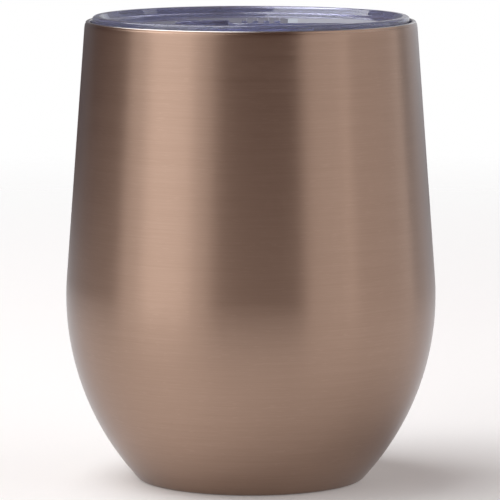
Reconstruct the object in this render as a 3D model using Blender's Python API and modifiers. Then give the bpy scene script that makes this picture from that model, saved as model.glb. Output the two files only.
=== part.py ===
"""Stemless insulated tumbler, about 350 ml, with a clear press-in lid and a slide closure.

The cup is two stainless shells with a vacuum between them, joined at the lip and closed from below.
Every turned part is a half section revolved about Z. Z = 0 is the plane the foot stands on, and +X
points from the axis to the drinking opening.
"""

import math

import bmesh
import bpy

MM = 0.001

# Cup: a belly arc below, a straight taper above.
BODY_HEIGHT = 110.5 * MM
MAX_RADIUS = 44.5 * MM
BELLY_HEIGHT = 44.2 * MM
BELLY_ARC = 65.0 * MM
TAPER = math.radians(4.26)
FOOT_FILLET = 1.5 * MM
FOOT_INNER_RADIUS = 24.0 * MM

# Sheet metal and the spaces between the shells.
SHEET = 0.5 * MM
VACUUM_GAP = 3.0 * MM
SEAM_GAP = 0.3 * MM  # between pieces that touch or are welded on the real cup
FOIL = 0.3 * MM
COPPER_TOP = 88.0 * MM

# Mouth: the lip, the ledge the lid sits on, and the bore its gasket seals against.
LIP_HEIGHT = 0.7 * MM
LIP_ROUND = 0.35 * MM
LIP_INNER_RADIUS = 38.5 * MM
LEDGE_DEPTH = 2.3 * MM
LEDGE_DROP = 1.2 * MM
BORE_RADIUS = 37.0 * MM

# Liner bottom.
LINER_FLOOR = 9.0 * MM
LINER_WELD_HEIGHT = 18.0 * MM
LINER_CORNER = 9.0 * MM

# Closure under the vacuum space.
BASE_SHEET = 0.6 * MM
BASE_RECESS = 3.4 * MM
BASE_CORNER = 0.8 * MM
BEAD_THICKNESS = 0.75 * MM
DIMPLE_RADIUS = 4.6 * MM
DIMPLE_DEPTH = 0.8 * MM
TAIL_HOLE_RADIUS = 1.0 * MM
BASE_DISC_HEIGHT = 0.9 * MM
GETTER_OFFSET = 13.0 * MM
GETTER_RADIUS = 4.0 * MM
GETTER_THICKNESS = 1.2 * MM

# Lid, with heights counted from the cup's lip.
LID_PROUD = 1.2 * MM
LID_RADIUS = 37.95 * MM
LID_RIM_ROUND = 0.8 * MM
LID_DECK_DEPTH = 1.7 * MM
LID_DECK_RADIUS = 35.0 * MM
LID_FLOOR_THICKNESS = 2.0 * MM
LID_DISH_RADIUS = 35.9 * MM
LID_FLANGE_DEPTH = 1.95 * MM
LID_RIM_SLOPE = 0.3 * MM  # how far the dish wall leans out over its last rise to the rim
SKIRT_RADIUS = 36.4 * MM
SKIRT_WALL = 2.4 * MM
SKIRT_DEPTH = 10.6 * MM
SKIRT_CHAMFER = 0.5 * MM
GROOVE_TOP = 5.3 * MM
GROOVE_HEIGHT = 3.6 * MM
GROOVE_DEPTH = 1.2 * MM
GASKET_FIN_HEIGHT = 0.8 * MM

# Slide closure. X positions are those of the closed lid.
SLIDE_TRAVEL = 12.0 * MM
OPENING_X = 24.0 * MM
OPENING_SIZE = (7.0 * MM, 12.0 * MM)
VENT_X = -27.0 * MM
VENT_RADIUS = 1.0 * MM
SLIDER_INNER_END = -5.5 * MM
SLIDER_OUTER_END = 30.5 * MM
SLIDER_WIDTH = 17.0 * MM
SLIDER_THICKNESS = 1.7 * MM
SLIDER_CORNER = 5.0 * MM
SEAL_LIP = 1.25 * MM  # how far the seal pad reaches past the opening all round
SEAL_THICKNESS = 0.9 * MM
STEM_X = 11.0 * MM
STEM_SIZE = (5.0 * MM, 4.0 * MM)
STEM_HEAD_OVERHANG = 0.7 * MM
STEM_HEAD_HEIGHT = 0.7 * MM
RETAINER_SIZE = (11.0 * MM, 10.0 * MM)
RETAINER_THICKNESS = 1.4 * MM
RETAINER_CORNER = 2.0 * MM
GRIP_SIZE = (1.4 * MM, 11.0 * MM)
GRIP_HEIGHT = 0.4 * MM
GRIP_PITCH = 2.6 * MM
GRIP_COUNT = 4
GRIP_START = -1.5 * MM  # the first rib's X
TRACK_DEPTH = 1.6 * MM  # how far the slider's track is sunk into the lid's deck
TRACK_END_GAP = 0.5 * MM
TRACK_WALL = 1.2 * MM

# Mesh fineness.
SEGMENTS = 40
ARC_STEPS = 7
ROUND_STEPS = 3
CORNER_STEPS = 4
CRISP_ANGLE = math.radians(25)
MERGE = 1e-5
OVERLAP = 0.4 * MM  # how far joined solids run into each other

# Worked out from the dimensions above.
BELLY_CENTRE = MAX_RADIUS - BELLY_ARC
SHELL_TOP = BODY_HEIGHT - LIP_HEIGHT - SEAM_GAP
LINER_INSET = SHEET + VACUUM_GAP
FOOT_ANGLE = math.asin((FOOT_FILLET - BELLY_HEIGHT) / (BELLY_ARC - FOOT_FILLET))
LID_DECK = LID_PROUD - LID_DECK_DEPTH
LID_DECK_UNDERSIDE = LID_DECK - LID_FLOOR_THICKNESS
LID_FLOOR = LID_DECK - TRACK_DEPTH
LID_FLOOR_UNDERSIDE = LID_FLOOR - LID_FLOOR_THICKNESS
SLIDER_UNDERSIDE = LID_FLOOR + SEAM_GAP
SLIDER_TOP = SLIDER_UNDERSIDE + SLIDER_THICKNESS
RETAINER_TOP = LID_FLOOR_UNDERSIDE - SEAM_GAP
RETAINER_BOTTOM = RETAINER_TOP - RETAINER_THICKNESS
SEAL_SIZE = tuple(side + 2 * SEAL_LIP for side in OPENING_SIZE)


def clear_scene():
    for obj in list(bpy.data.objects):
        bpy.data.objects.remove(obj)


def new_collection(name):
    collection = bpy.data.collections.new(name)
    bpy.context.scene.collection.children.link(collection)
    return collection


def new_material(name, colour, roughness, metallic=0.0, transmission=0.0):
    material = bpy.data.materials.new(name)
    material.use_nodes = True
    shader = material.node_tree.nodes["Principled BSDF"]
    shader.inputs["Base Color"].default_value = (*colour, 1.0)
    shader.inputs["Roughness"].default_value = roughness
    shader.inputs["Metallic"].default_value = metallic
    shader.inputs["Transmission Weight"].default_value = transmission
    return material


def new_object(name, mesh, collection, material=None, parent=None):
    obj = bpy.data.objects.new(name, mesh)
    collection.objects.link(obj)
    obj.parent = parent
    if material:
        mesh.materials.append(material)
    return obj


def new_empty(name, location, collection, parent=None):
    empty = new_object(name, None, collection, parent=parent)
    empty.location = location
    return empty


def make_helper(obj):
    """Marks a cutter or a joined shape, which is not a part of the tumbler."""
    obj.hide_render = True
    obj.display_type = "WIRE"
    return obj


def arc_points(centre, radius, start, end, steps):
    """Points along an arc in the section plane, angles counted from +X towards +Z."""
    angles = [start + (end - start) * i / steps for i in range(steps + 1)]
    return [(centre[0] + radius * math.cos(a), centre[1] + radius * math.sin(a)) for a in angles]


def body_radius(height, inset):
    """Radius at a height of the surface that lies inset inside the cup's outside."""
    arc = BELLY_ARC - inset
    tangent_height = BELLY_HEIGHT + arc * math.sin(TAPER)
    if height <= tangent_height:
        return BELLY_CENTRE + math.sqrt(arc**2 - (height - BELLY_HEIGHT) ** 2)
    return BELLY_CENTRE + arc * math.cos(TAPER) - (height - tangent_height) * math.tan(TAPER)


def body_path(top, bottom_angle, inset):
    """The surface inset inside the cup's outside, from height top down to an angle on the belly arc."""
    arc = arc_points((BELLY_CENTRE, BELLY_HEIGHT), BELLY_ARC - inset, TAPER, bottom_angle, ARC_STEPS)
    return [(body_radius(top, inset), top), *arc]


def belly_angle(height, inset):
    return math.asin((height - BELLY_HEIGHT) / (BELLY_ARC - inset))


def offset_path(path, distance):
    """The path moved inwards, with mitred corners. Inwards is to the right of the way it runs."""
    normals = []
    for (r0, z0), (r1, z1) in zip(path, path[1:]):
        length = math.hypot(r1 - r0, z1 - z0)
        normals.append(((z1 - z0) / length, -(r1 - r0) / length))
    moved = []
    for i, (r, z) in enumerate(path):
        before = normals[max(i - 1, 0)]
        after = normals[min(i, len(normals) - 1)]
        share = distance / (1 + before[0] * after[0] + before[1] * after[1])
        moved.append((r + (before[0] + after[0]) * share, z + (before[1] + after[1]) * share))
    return moved


def sheet_section(path, thickness):
    """The half section of a sheet whose outer side is the path, listed from its inner side round."""
    return offset_path(path, thickness)[::-1] + path


def turned(name, section, collection, material=None, parent=None):
    """A solid of revolution about Z. A section that starts and ends on the axis stays open there."""
    ring = section[0][0] > MERGE
    points = [(r, 0.0, z) for r, z in section]
    edges = [(i, i + 1) for i in range(len(points) - 1)]
    if ring:
        edges.append((len(points) - 1, 0))
    mesh = bpy.data.meshes.new(name)
    mesh.from_pydata(points, edges, [])
    obj = new_object(name, mesh, collection, material, parent)
    screw = obj.modifiers.new("Turn", "SCREW")
    screw.axis = "Z"
    screw.steps = SEGMENTS
    screw.render_steps = SEGMENTS
    screw.use_merge_vertices = True
    screw.merge_threshold = MERGE
    return obj


def rounded_block(name, x_range, width, z_range, corner, collection, material=None, parent=None):
    """A block centred on Y = 0 whose upright edges are rounded to the corner radius."""
    size = (x_range[1] - x_range[0], width, z_range[1] - z_range[0])
    middle = (sum(x_range) / 2, 0.0, sum(z_range) / 2)
    body = bmesh.new()
    bmesh.ops.create_cube(body, size=1.0)
    bmesh.ops.scale(body, vec=size, verts=body.verts)
    bmesh.ops.translate(body, vec=middle, verts=body.verts)
    upright = [e for e in body.edges if abs(e.verts[0].co.z - e.verts[1].co.z) > size[2] / 2]
    bmesh.ops.bevel(
        body, geom=upright, offset=corner, segments=CORNER_STEPS, profile=0.5, affect="EDGES"
    )
    mesh = bpy.data.meshes.new(name)
    body.to_mesh(mesh)
    body.free()
    return new_object(name, mesh, collection, material, parent)


def centred_block(name, centre_x, size, z_range, corner, collection, material=None, parent=None):
    x_range = (centre_x - size[0] / 2, centre_x + size[0] / 2)
    return rounded_block(name, x_range, size[1], z_range, corner, collection, material, parent)


def combine(obj, other, operation):
    make_helper(other)
    boolean = obj.modifiers.new(f"{operation} {other.name}", "BOOLEAN")
    boolean.operation = operation
    boolean.object = other


def grown(size, margin):
    return tuple(side + 2 * margin for side in size)


def full_round(size):
    """The corner radius that makes a block's ends almost half circles."""
    return 0.49 * min(size)


def build_outer_shell(parts, material):
    """The outside wall, rolled in at the bottom to a flat foot ring."""
    foot_centre = (
        BELLY_CENTRE + (BELLY_ARC - FOOT_FILLET) * math.cos(FOOT_ANGLE),
        FOOT_FILLET,
    )
    path = body_path(SHELL_TOP, FOOT_ANGLE, 0.0)
    path += arc_points(foot_centre, FOOT_FILLET, FOOT_ANGLE, -math.pi / 2, ROUND_STEPS)[1:]
    path.append((FOOT_INNER_RADIUS, 0.0))
    turned("outer_shell", sheet_section(path, SHEET), parts, material)


def build_inner_liner(parts, material):
    """The inside wall: rounded lip, ledge for the lid, gasket bore, and the wall down to its weld."""
    lip_radius = body_radius(SHELL_TOP, 0.0)
    ledge_top = BODY_HEIGHT - LEDGE_DEPTH
    ledge_bottom = ledge_top - LEDGE_DROP
    neck_outside = BORE_RADIUS + SHEET
    weld_angle = belly_angle(LINER_WELD_HEIGHT, LINER_INSET)
    wall = arc_points(
        (BELLY_CENTRE, BELLY_HEIGHT), BELLY_ARC - LINER_INSET, TAPER, weld_angle, ARC_STEPS
    )
    taper_start = wall[0]
    neck_bottom = taper_start[1] + (taper_start[0] - neck_outside) / math.tan(TAPER)
    outside = [
        (LIP_INNER_RADIUS + SHEET, ledge_top),
        (neck_outside, ledge_bottom),
        (neck_outside, neck_bottom),
        *wall,
    ]
    inside = offset_path(outside, SHEET)
    lip = [
        (LIP_INNER_RADIUS, BODY_HEIGHT - LIP_ROUND),
        (LIP_INNER_RADIUS + LIP_ROUND, BODY_HEIGHT),
        (lip_radius - LIP_ROUND, BODY_HEIGHT),
        (lip_radius, BODY_HEIGHT - LIP_ROUND),
        (lip_radius, BODY_HEIGHT - LIP_HEIGHT),
        (LIP_INNER_RADIUS + SHEET, BODY_HEIGHT - LIP_HEIGHT),
    ]
    turned("inner_liner", inside[::-1] + lip + outside, parts, material)


def liner_bottom_path(inset, top, floor):
    """Wall, corner and flat floor of a cup that continues the inset body surface below height top."""
    corner_centre_height = floor + LINER_CORNER
    corner_angle = belly_angle(corner_centre_height, inset + LINER_CORNER)
    corner_centre = (body_radius(corner_centre_height, inset + LINER_CORNER), corner_centre_height)
    wall = arc_points(
        (BELLY_CENTRE, BELLY_HEIGHT), BELLY_ARC - inset, belly_angle(top, inset), corner_angle, 1
    )
    corner = arc_points(corner_centre, LINER_CORNER, corner_angle, -math.pi / 2, ROUND_STEPS)
    return wall[:1] + corner + [(0.0, floor)]


def build_liner_bottom(parts, material):
    """The drawn pan that closes the liner, its rim meeting the wall at the weld."""
    path = liner_bottom_path(LINER_INSET, LINER_WELD_HEIGHT - SEAM_GAP, LINER_FLOOR - SHEET)
    turned("liner_bottom", sheet_section(path, SHEET), parts, material)


def build_copper_layers(parts, material):
    """The copper heat shield round the liner and the one under its floor."""
    inset = LINER_INSET - SEAM_GAP - FOIL
    wrap = body_path(COPPER_TOP, belly_angle(LINER_WELD_HEIGHT, inset), inset)
    turned("copper_wrap", sheet_section(wrap, FOIL), parts, material)
    pan = liner_bottom_path(
        inset, LINER_WELD_HEIGHT - SEAM_GAP, LINER_FLOOR - SHEET - SEAM_GAP - FOIL
    )
    turned("copper_pan", sheet_section(pan, FOIL), parts, material)


def build_base(parts, steel, glass):
    """What closes the vacuum space from below: pressed bottom, sealing bead and cover disc."""
    rim_radius = FOOT_INNER_RADIUS - SEAM_GAP
    path = [
        (TAIL_HOLE_RADIUS, BASE_RECESS + DIMPLE_DEPTH),
        (DIMPLE_RADIUS - DIMPLE_DEPTH, BASE_RECESS + DIMPLE_DEPTH),
        (DIMPLE_RADIUS, BASE_RECESS),
        (rim_radius - BASE_CORNER, BASE_RECESS),
        (rim_radius, BASE_RECESS - BASE_CORNER),
        (rim_radius, SEAM_GAP),
    ]
    turned("outer_bottom", sheet_section(path, BASE_SHEET), parts, steel)
    bead_top = BASE_RECESS + DIMPLE_DEPTH - BASE_SHEET - SEAM_GAP
    bead_radius = DIMPLE_RADIUS - DIMPLE_DEPTH - BASE_SHEET
    bead = [
        (0.0, bead_top),
        (bead_radius, bead_top),
        (bead_radius * 0.8, bead_top - BEAD_THICKNESS * 0.6),
        (0.0, bead_top - BEAD_THICKNESS),
    ]
    turned("vacuum_seal_bead", bead, parts, glass)
    disc_radius = rim_radius - BASE_SHEET - SEAM_GAP
    disc = [
        (0.0, BASE_DISC_HEIGHT),
        (disc_radius, BASE_DISC_HEIGHT),
        (disc_radius, BASE_DISC_HEIGHT - SHEET),
        (0.0, BASE_DISC_HEIGHT - SHEET),
    ]
    turned("base_disc", disc, parts, steel)


def build_getter(parts, steel, alloy):
    """The pill that keeps the vacuum, in the small cup that holds it on the pressed bottom."""
    seat = new_empty("getter_seat", (GETTER_OFFSET, 0.0, BASE_RECESS + SEAM_GAP), parts)
    cup_radius = GETTER_RADIUS + SEAM_GAP + SHEET
    cup_height = SHEET + SEAM_GAP + GETTER_THICKNESS
    path = [(cup_radius, cup_height), (cup_radius, 0.0), (0.0, 0.0)]
    turned("getter_cup", sheet_section(path, SHEET), parts, steel, seat)
    pill_bottom = SHEET + SEAM_GAP
    pill = [
        (0.0, pill_bottom + GETTER_THICKNESS),
        (GETTER_RADIUS, pill_bottom + GETTER_THICKNESS),
        (GETTER_RADIUS, pill_bottom),
        (0.0, pill_bottom),
    ]
    turned("getter_pill", pill, parts, alloy, seat)


def lid_section():
    """The lid without its track: shallow dish, rounded rim, flange, grooved skirt, underside."""
    groove_bottom = -GROOVE_TOP - GROOVE_HEIGHT
    skirt_inside = SKIRT_RADIUS - SKIRT_WALL
    rim = arc_points(
        (LID_RADIUS - LID_RIM_ROUND, LID_PROUD - LID_RIM_ROUND),
        LID_RIM_ROUND,
        math.pi / 2,
        0.0,
        ROUND_STEPS,
    )
    return [
        (0.0, LID_DECK),
        (LID_DECK_RADIUS, LID_DECK),
        (LID_DISH_RADIUS, LID_PROUD - LID_RIM_ROUND),
        (LID_DISH_RADIUS + LID_RIM_SLOPE, LID_PROUD),
        *rim,
        (LID_RADIUS, -LID_FLANGE_DEPTH + SKIRT_CHAMFER),
        (LID_RADIUS - SKIRT_CHAMFER, -LID_FLANGE_DEPTH),
        (SKIRT_RADIUS, -LID_FLANGE_DEPTH),
        (SKIRT_RADIUS, -GROOVE_TOP),
        (SKIRT_RADIUS - GROOVE_DEPTH, -GROOVE_TOP),
        (SKIRT_RADIUS - GROOVE_DEPTH, groove_bottom),
        (SKIRT_RADIUS, groove_bottom),
        (SKIRT_RADIUS, -SKIRT_DEPTH + SKIRT_CHAMFER),
        (SKIRT_RADIUS - SKIRT_CHAMFER, -SKIRT_DEPTH),
        (skirt_inside, -SKIRT_DEPTH),
        (skirt_inside, LID_DECK_UNDERSIDE - SKIRT_CHAMFER),
        (skirt_inside - SKIRT_CHAMFER, LID_DECK_UNDERSIDE),
        (0.0, LID_DECK_UNDERSIDE),
    ]


def build_track(lid, helpers, seat):
    """Sinks the slider's track into the lid: a tub under the deck, open at the top."""
    inside_x = (
        SLIDER_INNER_END - SLIDE_TRAVEL - TRACK_END_GAP,
        SLIDER_OUTER_END + TRACK_END_GAP,
    )
    outside_x = (inside_x[0] - TRACK_WALL, inside_x[1] + TRACK_WALL)
    inside_width = SLIDER_WIDTH + 2 * SEAM_GAP
    outside_width = inside_width + 2 * TRACK_WALL
    corner = SLIDER_CORNER + SEAM_GAP
    tub_z = (LID_FLOOR_UNDERSIDE, LID_DECK - OVERLAP)
    tub = rounded_block("track_tub", outside_x, outside_width, tub_z, corner + TRACK_WALL, helpers)
    hollow_z = (LID_FLOOR, LID_PROUD + MM)
    hollow = rounded_block("track_hollow", inside_x, inside_width, hollow_z, corner, helpers)
    for shape, operation in ((tub, "UNION"), (hollow, "DIFFERENCE")):
        shape.parent = seat
        combine(lid, shape, operation)


def build_lid(parts, helpers, material, seat):
    """The clear lid with the slider's track, and cuts for the stem, the drink and the vent."""
    lid = turned("lid", lid_section(), parts, material, seat)
    build_track(lid, helpers, seat)
    cut_z = (LID_FLOOR_UNDERSIDE - MM, LID_FLOOR + MM)
    opening = centred_block(
        "opening_cutter", OPENING_X, OPENING_SIZE, cut_z, full_round(OPENING_SIZE), helpers
    )
    slot_width = STEM_SIZE[1] + 2 * SEAM_GAP
    slot_x = (
        STEM_X - SLIDE_TRAVEL - STEM_SIZE[0] / 2 - SEAM_GAP,
        STEM_X + STEM_SIZE[0] / 2 + SEAM_GAP,
    )
    slot = rounded_block("slot_cutter", slot_x, slot_width, cut_z, MM, helpers)
    vent_size = (2 * VENT_RADIUS, 2 * VENT_RADIUS)
    vent_z = (LID_DECK_UNDERSIDE - MM, LID_DECK + MM)
    vent = centred_block("vent_cutter", VENT_X, vent_size, vent_z, full_round(vent_size), helpers)
    for cutter in (opening, slot, vent):
        cutter.parent = seat
        combine(lid, cutter, "DIFFERENCE")


def build_gasket(parts, material, seat):
    """The silicone ring in the skirt's groove, with two fins towards the bore."""
    inner = SKIRT_RADIUS - GROOVE_DEPTH + SEAM_GAP
    body = SKIRT_RADIUS - SEAM_GAP
    fin = BORE_RADIUS - SEAM_GAP
    top = -GROOVE_TOP - SEAM_GAP
    bottom = -GROOVE_TOP - GROOVE_HEIGHT + SEAM_GAP
    half_fin = GASKET_FIN_HEIGHT / 2
    upper = top - GASKET_FIN_HEIGHT
    lower = bottom + GASKET_FIN_HEIGHT
    section = [(inner, bottom), (inner, top), (body, top)]
    for middle in (upper, lower):
        section += [(body, middle + half_fin), (fin, middle), (body, middle - half_fin)]
    section.append((body, bottom))
    turned("lid_gasket", section, parts, material, seat)


def build_slider(parts, helpers, material, seat):
    """The sliding tab: plate with a pocket for its seal, thumb ribs, and a stem with a snap head."""
    plate_z = (SLIDER_UNDERSIDE, SLIDER_TOP)
    slider = rounded_block(
        "slider",
        (SLIDER_INNER_END - STEM_X, SLIDER_OUTER_END - STEM_X),
        SLIDER_WIDTH,
        plate_z,
        SLIDER_CORNER,
        parts,
        material,
        seat,
    )
    head_top = RETAINER_BOTTOM - SEAM_GAP
    head_size = (STEM_SIZE[0] + 2 * STEM_HEAD_OVERHANG, STEM_SIZE[1])
    stem = centred_block(
        "stem", 0.0, STEM_SIZE, (head_top - OVERLAP, SLIDER_UNDERSIDE + OVERLAP), OVERLAP, helpers
    )
    head_z = (head_top - STEM_HEAD_HEIGHT, head_top)
    head = centred_block("stem_head", 0.0, head_size, head_z, OVERLAP, helpers)
    joined = [stem, head]
    for i in range(GRIP_COUNT):
        rib_z = (SLIDER_TOP - OVERLAP, SLIDER_TOP + GRIP_HEIGHT)
        rib_x = GRIP_START - STEM_X + i * GRIP_PITCH
        joined.append(
            centred_block(f"grip_rib_{i + 1}", rib_x, GRIP_SIZE, rib_z, OVERLAP, helpers)
        )
    for shape in joined:
        shape.parent = seat
        combine(slider, shape, "UNION")
    pocket_size = grown(SEAL_SIZE, SEAM_GAP)
    pocket_z = (SLIDER_UNDERSIDE - MM, SLIDER_UNDERSIDE + SEAL_THICKNESS + SEAM_GAP)
    pocket = centred_block(
        "seal_pocket", OPENING_X - STEM_X, pocket_size, pocket_z, full_round(pocket_size), helpers
    )
    pocket.parent = seat
    combine(slider, pocket, "DIFFERENCE")


def build_slider_fittings(parts, helpers, clear, silicone, seat):
    """The seal pad in the slider's pocket and the retainer that snaps onto its stem."""
    seal_z = (SLIDER_UNDERSIDE, SLIDER_UNDERSIDE + SEAL_THICKNESS)
    centred_block(
        "slider_seal", OPENING_X - STEM_X, SEAL_SIZE, seal_z, full_round(SEAL_SIZE), parts,
        silicone, seat,
    )
    retainer = centred_block(
        "slider_retainer", 0.0, RETAINER_SIZE, (RETAINER_BOTTOM, RETAINER_TOP), RETAINER_CORNER,
        parts, clear, seat,
    )
    hole = centred_block(
        "retainer_hole",
        0.0,
        grown(STEM_SIZE, SEAM_GAP),
        (RETAINER_BOTTOM - MM, RETAINER_TOP + MM),
        OVERLAP,
        helpers,
    )
    hole.parent = seat
    combine(retainer, hole, "DIFFERENCE")


def shade_parts(parts):
    """Gives each part its finished mesh, shaded smooth up to its crisp edges."""
    graph = bpy.context.evaluated_depsgraph_get()
    solids = [obj for obj in parts.objects if obj.type == "MESH"]
    meshes = [bpy.data.meshes.new_from_object(obj.evaluated_get(graph)) for obj in solids]
    for obj, mesh in zip(solids, meshes):
        obj.modifiers.clear()
        obj.data = mesh
        mesh.shade_smooth()
        mesh.set_sharp_from_angle(angle=CRISP_ANGLE)


def main():
    clear_scene()
    parts = new_collection("insulated_tumbler")
    helpers = new_collection("helpers")
    coated = new_material("coated_steel", (0.36, 0.24, 0.18), 0.35, metallic=1.0)
    steel = new_material("bare_steel", (0.62, 0.61, 0.59), 0.3, metallic=1.0)
    copper = new_material("copper_foil", (0.75, 0.36, 0.22), 0.25, metallic=1.0)
    glass = new_material("sealing_glass", (0.12, 0.13, 0.12), 0.3)
    alloy = new_material("getter_alloy", (0.2, 0.2, 0.21), 0.7, metallic=1.0)
    clear = new_material("clear_plastic", (0.8, 0.8, 0.88), 0.05, transmission=1.0)
    silicone = new_material("silicone", (0.82, 0.83, 0.85), 0.45, transmission=0.6)
    build_outer_shell(parts, coated)
    build_inner_liner(parts, steel)
    build_liner_bottom(parts, steel)
    build_copper_layers(parts, copper)
    build_base(parts, steel, glass)
    build_getter(parts, steel, alloy)
    lid_seat = new_empty("lid_seat", (0.0, 0.0, BODY_HEIGHT), parts)
    build_lid(parts, helpers, clear, lid_seat)
    build_gasket(parts, silicone, lid_seat)
    slider_seat = new_empty("slider_seat", (STEM_X, 0.0, 0.0), parts, lid_seat)
    build_slider(parts, helpers, clear, slider_seat)
    build_slider_fittings(parts, helpers, clear, silicone, slider_seat)
    shade_parts(parts)


main()
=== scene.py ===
"""Looks for the insulated tumbler: each piece is made again as fine metal, plastic or silicone.

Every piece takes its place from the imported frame. Lengths are in metres, +Z is up, and +X points from
the cup's axis to the drinking opening.
"""

import math

import bmesh
import bpy
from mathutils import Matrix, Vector


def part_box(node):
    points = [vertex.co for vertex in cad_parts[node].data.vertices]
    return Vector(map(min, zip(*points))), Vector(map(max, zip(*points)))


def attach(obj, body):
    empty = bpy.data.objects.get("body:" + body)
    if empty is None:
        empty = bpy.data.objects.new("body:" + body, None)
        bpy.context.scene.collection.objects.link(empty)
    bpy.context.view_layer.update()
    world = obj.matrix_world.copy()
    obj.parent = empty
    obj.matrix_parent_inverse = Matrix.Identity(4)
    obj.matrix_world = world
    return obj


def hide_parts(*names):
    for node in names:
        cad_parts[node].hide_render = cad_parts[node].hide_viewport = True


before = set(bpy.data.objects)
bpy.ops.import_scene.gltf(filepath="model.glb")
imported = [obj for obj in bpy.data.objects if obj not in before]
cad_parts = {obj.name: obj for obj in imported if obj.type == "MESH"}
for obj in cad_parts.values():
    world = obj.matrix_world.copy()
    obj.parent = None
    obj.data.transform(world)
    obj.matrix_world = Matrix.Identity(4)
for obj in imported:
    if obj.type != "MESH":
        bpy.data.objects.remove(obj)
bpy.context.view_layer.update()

MM = 0.001

# The cup's outline, as in the CAD model: a belly arc below, a straight taper above.
MAX_RADIUS = 44.5 * MM
BELLY_HEIGHT = 44.2 * MM
BELLY_ARC = 65.0 * MM
TAPER = math.radians(4.26)
BELLY_CENTRE = MAX_RADIUS - BELLY_ARC
FOOT_FILLET = 1.5 * MM
SHEET = 0.5 * MM
LINER_INSET = 3.5 * MM
FOIL = 0.3 * MM

# The mouth. Its top comes from the frame. The lip's height, the radii and the ledge repeat the CAD
# model's dimensions, and the rest is finer detail than the solids have.
LIP_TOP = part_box("inner_liner")[1].z
LIP_HEIGHT = 0.7 * MM
LIP_INNER_RADIUS = 38.5 * MM
LEDGE_DEPTH = 2.3 * MM
LEDGE_DROP = 1.2 * MM
BORE_RADIUS = 37.0 * MM
LIP_ROUND = 0.32 * MM
LIP_SIDE_FLARE = 0.02 * MM
LIP_JOINT = 0.02 * MM  # between the top of the shell and the underside of the lip
BARE_LIP = 0.14 * MM  # the coating starts this far below the lip's top
LEDGE_FILLET = 0.7 * MM
NECK_FILLET = 6.0 * MM
SHOULDER = 1.8 * MM  # height over which the coated wall rolls in towards the lip
SHOULDER_ROLL = 0.22 * MM
LIP_FOOT_ROLL = 0.4 * SHOULDER_ROLL  # about what the shell rolls in at that height

# The foot, the liner's pan and what closes the base.
FOOT_RING_INNER = 24.0 * MM
PAN_CORNER = 9.0 * MM
WELD_RAISE = 0.05 * MM
WELD_OUTSET = 0.12 * MM
WELD_RADIUS = 0.25 * MM
WELD_RIPPLE = 0.02 * MM
WELD_RIPPLES = 90
BASE_SHEET = 0.6 * MM
BASE_RECESS = 3.4 * MM
BASE_CORNER = 1.4 * MM
TAIL_HOLE_RADIUS = 1.0 * MM
DIMPLE_RADIUS = 3.8 * MM
DIMPLE_FILLET = 0.5 * MM
DIMPLE_MOUTH = 4.6 * MM
DIMPLE_MOUTH_ROUND = 0.8 * MM
BEAD_TOP_ROUND = 0.1 * MM
BEAD_DROP_ROUND = 0.5 * MM
BEAD_DROP_SHARE = 0.8  # radius of the drop's lower end over the bead's
DISC_EDGE = 0.15 * MM
GETTER_FILLET = 0.6 * MM
PILL_EDGE = 0.2 * MM

# Mesh fineness.
SEGMENTS = 256
SMALL_SEGMENTS = 96
ARC_STEP = math.radians(9)
EDGE_STEPS = 5
FILLET_STEPS = 8
SHOULDER_STEPS = 12
SHELL_STEPS = 72
LINER_STEPS = 48
COPPER_STEPS = 40
PAN_WALL_STEPS = 4
PAN_CORNER_STEPS = 16
WELD_STEPS = 14
CRISP_ANGLE = math.radians(32)
NEARLY_STRAIGHT = math.radians(89)  # half the angle of a corner too flat to round
MERGE = 1e-6
OVERLAP = 0.3 * MM
CUT_MARGIN = 1.0 * MM

# The lid and its slider. X positions are those of the closed lid.
SEAM_GAP = 0.3 * MM
LID_DECK_DEPTH = 1.7 * MM
LID_DECK_RADIUS = 35.1 * MM
LID_WALL = 2.0 * MM
LID_RIM_WIDTH = 1.7 * MM
LID_RIM_ROUND = (0.45 * MM, 0.8 * MM)  # inner and outer
LID_DECK_FILLET = 0.9 * MM
LID_UNDERSIDE_FILLET = 0.8 * MM
LID_FLANGE_DEPTH = 1.95 * MM
LID_FLANGE_ROUND = 0.4 * MM
LID_FLANGE_FILLET = 0.25 * MM
SKIRT_RADIUS = 36.4 * MM
SKIRT_WALL = 2.4 * MM
SKIRT_ROUND = 0.5 * MM
GROOVE_DEPTH_BELOW_LIP = 5.3 * MM
GROOVE_HEIGHT = 3.6 * MM
GROOVE_CUT = 1.2 * MM
GROOVE_EDGE = 0.15 * MM
GROOVE_FILLET = 0.2 * MM
FIN_HALF_THICKNESS = 0.45 * MM
FIN_INSET = 0.8 * MM
FIN_FILLET = 0.12 * MM
FIN_TIP_ROUND = 0.08 * MM
SLIDE_TRAVEL = 12.0 * MM
TRACK_DEPTH = 1.6 * MM
TRACK_END_GAP = 0.5 * MM
TRACK_WALL = 1.2 * MM
TRACK_MOUTH_ROUND = 0.25 * MM
TRACK_FILLET = 0.3 * MM
TUB_ROUND = (0.1 * MM, 0.6 * MM)  # top and bottom
HOLE_FLARE = 0.3 * MM
OPENING_X = 24.0 * MM
OPENING_SIZE = (7.0 * MM, 12.0 * MM)
VENT_X = -27.0 * MM
VENT_RADIUS = 1.0 * MM
SLIDER_THICKNESS = 1.7 * MM
SLIDER_CORNER = 5.0 * MM
SLIDER_ROUND = (0.5 * MM, 0.2 * MM)  # top and bottom
RIB_COUNT = 4
RIB_START = 4.0 * MM
RIB_PITCH = 2.6 * MM
RIB_LENGTH = 11.0 * MM
RIB_HEIGHT = 0.4 * MM
RIB_HALF_WIDTH = 0.7 * MM
RIB_CORNER = 0.68 * MM
RIB_ROUND = 0.3 * MM
HIDDEN_ROUND = 0.05 * MM  # on edges buried in a neighbour
STEM_X = 11.0 * MM
STEM_SIZE = (5.0 * MM, 4.0 * MM)
STEM_CORNER = 0.5 * MM
STEM_SLOT_CORNER = 1.0 * MM
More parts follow.
